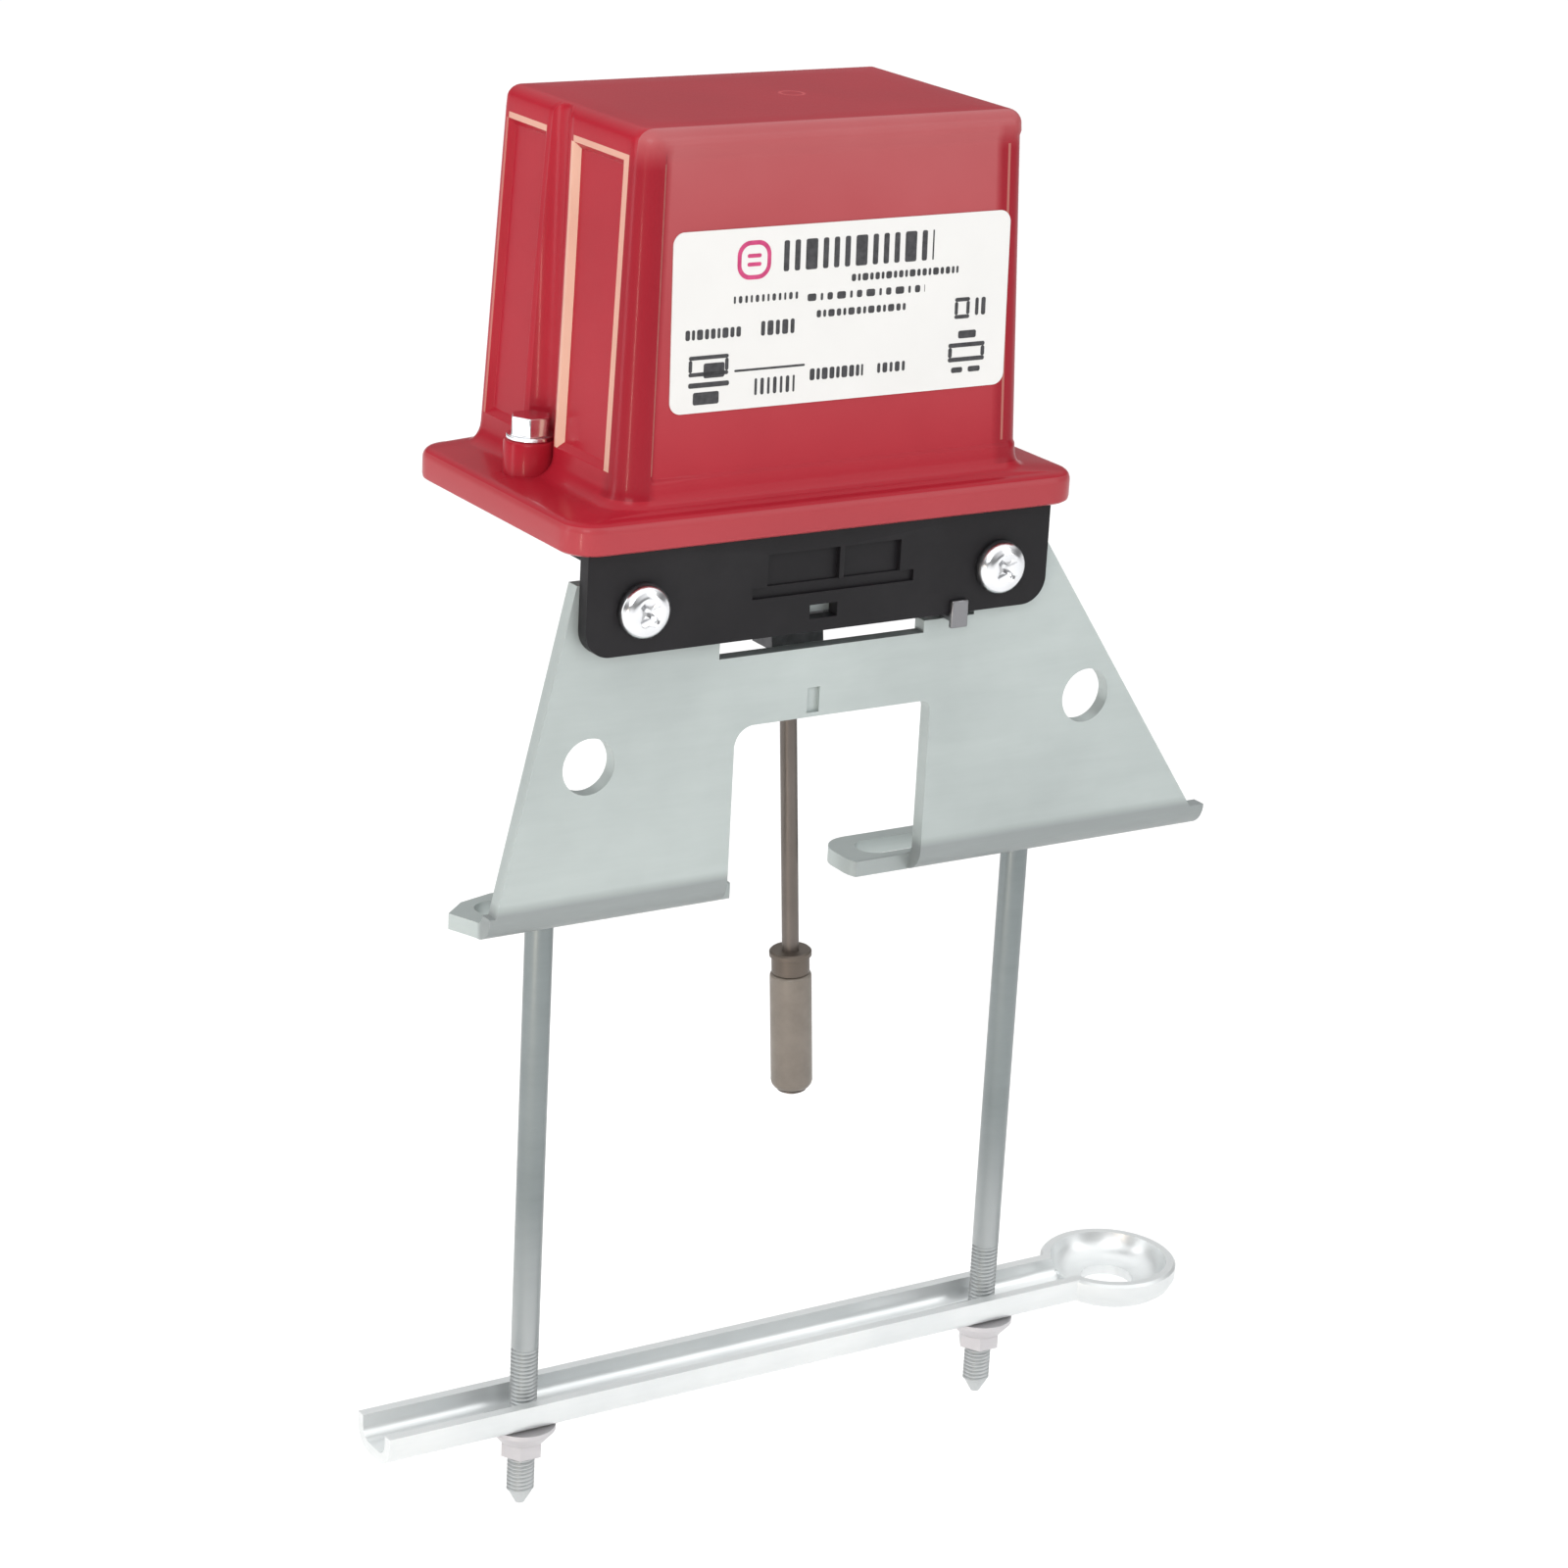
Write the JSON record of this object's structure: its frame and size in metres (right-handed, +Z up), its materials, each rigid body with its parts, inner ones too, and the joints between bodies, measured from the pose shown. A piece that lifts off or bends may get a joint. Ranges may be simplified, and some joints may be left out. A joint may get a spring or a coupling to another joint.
{
  "type": "valve supervisory switch",
  "caption": "Supervisory switch for a rising-stem gate valve: red cast cover on a black base, notched steel bracket, sprung trip rod with roller sleeve, and a bolted yoke clamp bar.",
  "frame": {"origin": "underside of the feet, on the line through the two clamp bolts, straight below the trip lever's pivot", "axes": "+X right along the bracket and clamp bar seen from the label side, +Y from the label side to the back, +Z up from the feet to the cover's top"},
  "size_m": [0.1796, 0.062, 0.2608],
  "materials": {
    "red_enamel": "gloss enamel on a die casting",
    "black_enamel": "satin enamel on a die casting",
    "zinc_plate": "bright zinc plating on sheet steel",
    "zinc_bar": "bright zinc plating",
    "zinc_bolt": "zinc-plated rod",
    "bright_screw": "bright nickel-plated steel",
    "plain_steel": "plain steel",
    "lever_casting": "dark satin casting",
    "rod_steel": "drawn steel",
    "sleeve_acetal": "warm grey acetal",
    "collar_bronze": "dark bronze-toned steel",
    "label_stock": "satin printed label",
    "gasket_foam": "closed-cell foam",
    "switch_case": "moulded phenolic",
    "button_plastic": "moulded nylon",
    "insulator_card": "vulcanised fibre",
    "terminal_brass": "bright brass",
    "block_plastic": "moulded phenolic",
    "earth_green": "green-dyed screw"
  },
  "bodies": {
    "frame": {"bracket": "zinc_plate", "base": "black_enamel", "knockout_left": "black_enamel", "knockout_right": "black_enamel", "base_screw_left": "bright_screw", "base_screw_right": "bright_screw", "base_nuts": "zinc_plate", "anchor_clip": "plain_steel", "cover_gasket": "gasket_foam", "pivot_pin": "plain_steel", "pivot_clip": "plain_steel", "return_spring": "plain_steel", "switch_front": "switch_case", "switch_rear": "switch_case", "switch_spacer": "insulator_card", "switch_bracket": "zinc_plate", "switch_screws": "bright_screw", "switch_nuts": "zinc_plate", "switch_terminals": "terminal_brass", "bracket_screws": "bright_screw", "terminal_block": "block_plastic", "terminal_screws": "terminal_brass", "ground_screw": "earth_green"},
    "cover": {"cover": "red_enamel", "cover_label": "label_stock"},
    "screw_left": {"cover_screw_left": "bright_screw"},
    "screw_right": {"cover_screw_right": "bright_screw"},
    "lever": {"trip_lever": "lever_casting", "trip_cam": "plain_steel"},
    "lock": {"locking_screw": "plain_steel"},
    "rod": {"trip_rod": "rod_steel", "sleeve_collar": "collar_bronze"},
    "sleeve": {"rod_sleeve": "sleeve_acetal"},
    "button_front": {"plunger_front": "button_plastic"},
    "button_rear": {"plunger_rear": "button_plastic"},
    "bolts": {"bolt_left": "zinc_bolt", "bolt_right": "zinc_bolt"},
    "bar": {"clamp_bar": "zinc_bar"},
    "nut_l": {"nut_left": "zinc_bolt"},
    "nut_r": {"nut_right": "zinc_bolt"}
  },
  "joints": [
    {"name": "cover_lift", "type": "slide", "parent": "frame", "child": "cover", "axis": [0, 0, 1], "range_m": [0, 0.09]},
    {"name": "cover_screw_left_turn", "type": "hinge", "parent": "cover", "child": "screw_left", "pos_m": [-0.0435, 0.0185, 0.0835], "axis": [0, 0, 1], "continuous": true},
    {"name": "cover_screw_right_turn", "type": "hinge", "parent": "cover", "child": "screw_right", "pos_m": [0.0435, 0.0185, 0.0835], "axis": [0, 0, 1], "continuous": true},
    {"name": "trip_swing", "type": "hinge", "parent": "frame", "child": "lever", "pos_m": [0, 0, 0.061], "axis": [0, 1, 0], "range_deg": [-4, 8], "stiffness_Nm_per_rad": 0.25, "springref_deg": -0.29},
    {"name": "rod_extend", "type": "slide", "parent": "lever", "child": "rod", "axis": [0.0698, 0, -0.9976], "range_m": [0, 0.006]},
    {"name": "sleeve_spin", "type": "hinge", "parent": "rod", "child": "sleeve", "pos_m": [0.00645, 0, -0.03127], "axis": [0.0698, 0, -0.9976], "continuous": true},
    {"name": "locking_screw_turn", "type": "hinge", "parent": "lever", "child": "lock", "pos_m": [0.01274, 0, 0.05086], "axis": [0.9976, 0, 0.0698], "continuous": true},
    {"name": "button_front_press", "type": "slide", "parent": "frame", "child": "button_front", "axis": [1, 0, 0], "range_m": [-0.001, 0.002]},
    {"name": "button_rear_press", "type": "slide", "parent": "frame", "child": "button_rear", "axis": [1, 0, 0], "range_m": [-0.001, 0.002]},
    {"name": "clamp_shift", "type": "slide", "parent": "frame", "child": "bolts", "axis": [1, 0, 0], "range_m": [-0.007, 0.007]},
    {"name": "clamp_lift", "type": "slide", "parent": "bolts", "child": "bar", "axis": [0, 0, 1], "range_m": [0, 0.04]},
    {"name": "nut_left_turn", "type": "hinge", "parent": "bar", "child": "nut_l", "pos_m": [-0.0486, 0, -0.104], "axis": [0, 0, 1], "continuous": true},
    {"name": "nut_right_turn", "type": "hinge", "parent": "bar", "child": "nut_r", "pos_m": [0.0552, 0, -0.104], "axis": [0, 0, 1], "continuous": true}
  ],
  "couplings": [
    {"joint": "button_front_press", "follows": "trip_swing", "m_per_rad": 0.01347},
    {"joint": "button_rear_press", "follows": "trip_swing", "m_per_rad": 0.01347},
    {"joint": "nut_left_turn", "follows": "clamp_lift", "rad_per_m": 7854},
    {"joint": "nut_right_turn", "follows": "clamp_lift", "rad_per_m": 7854}
  ]
}
